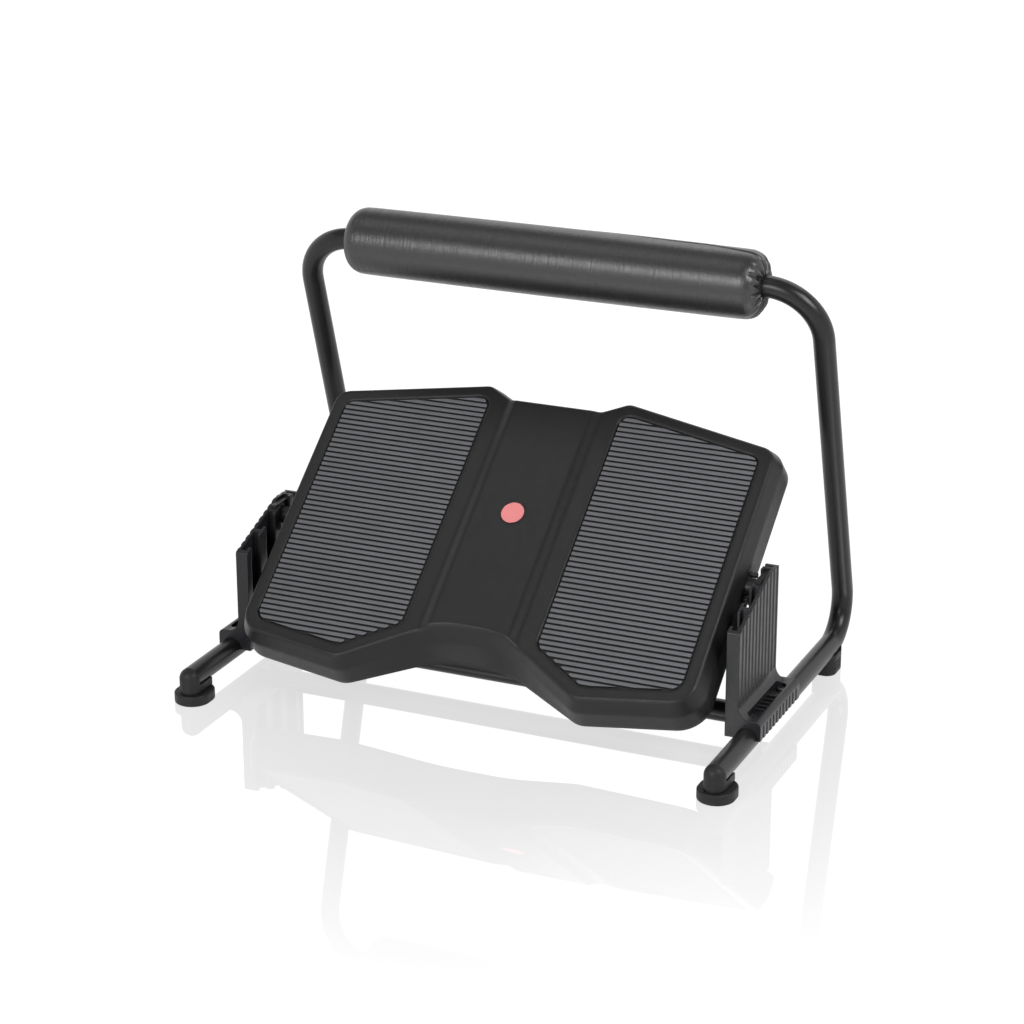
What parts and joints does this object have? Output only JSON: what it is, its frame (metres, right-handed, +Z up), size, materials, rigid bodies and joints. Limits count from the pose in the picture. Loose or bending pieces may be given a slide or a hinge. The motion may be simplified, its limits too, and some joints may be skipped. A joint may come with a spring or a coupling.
{
  "type": "footrest",
  "caption": "Free-standing office footrest: tilting ribbed foot platform on a bent black tube frame with height channels and a padded leg roll.",
  "frame": {"origin": "centre of the footprint on the floor", "axes": "+X to the right as seen from the front, where the sitter is, +Y to the back of the frame, +Z up"},
  "size_m": [0.544, 0.3674, 0.4155],
  "materials": {
    "frame_paint": "satin black powder coat",
    "steel": "bright zinc",
    "dark_screws": "black oxide",
    "foot_rubber": "matt",
    "bracket_plastic": "fine moulded grain",
    "block_plastic": "smooth",
    "platform_plastic": "fine moulded grain",
    "pad_rubber": "ribbed, matt",
    "disc_plastic": "smooth",
    "roll_cover": "soft leatherette",
    "roll_foam": "open foam",
    "elastic": "covered cord"
  },
  "bodies": {
    "frame": {"left_base_tube": "frame_paint", "right_base_tube": "frame_paint", "upper_hoop": "frame_paint", "crossbar": "frame_paint", "left_joint_sleeve": "steel", "right_joint_sleeve": "steel", "joint_screws": "dark_screws", "crossbar_screws": "dark_screws", "saddle_screws": "dark_screws", "left_front_foot": "foot_rubber", "right_front_foot": "foot_rubber", "left_rear_foot": "foot_rubber", "right_rear_foot": "foot_rubber", "left_side_bracket": "bracket_plastic", "right_side_bracket": "bracket_plastic"},
    "axle": {"pivot_axle": "steel", "left_slide_block": "block_plastic", "right_slide_block": "block_plastic"},
    "platform": {"platform_shell": "platform_plastic", "left_foot_pad": "pad_rubber", "right_foot_pad": "pad_rubber", "colour_disc": "disc_plastic"},
    "roll": {"roll_foam": "roll_foam", "roll_cover": "roll_cover", "roll_elastics": "elastic"}
  },
  "joints": [
    {"name": "platform_lift", "type": "slide", "parent": "frame", "child": "axle", "axis": [0, 0, 1], "range_m": [0, 0.035]},
    {"name": "platform_tilt", "type": "hinge", "parent": "axle", "child": "platform", "pos_m": [0, -0.01725, 0.134], "axis": [1, 0, 0], "range_deg": [-43, 0]},
    {"name": "roll_spin", "type": "hinge", "parent": "frame", "child": "roll", "pos_m": [0, 0.0735, 0.383], "axis": [1, 0, 0], "continuous": true}
  ]
}
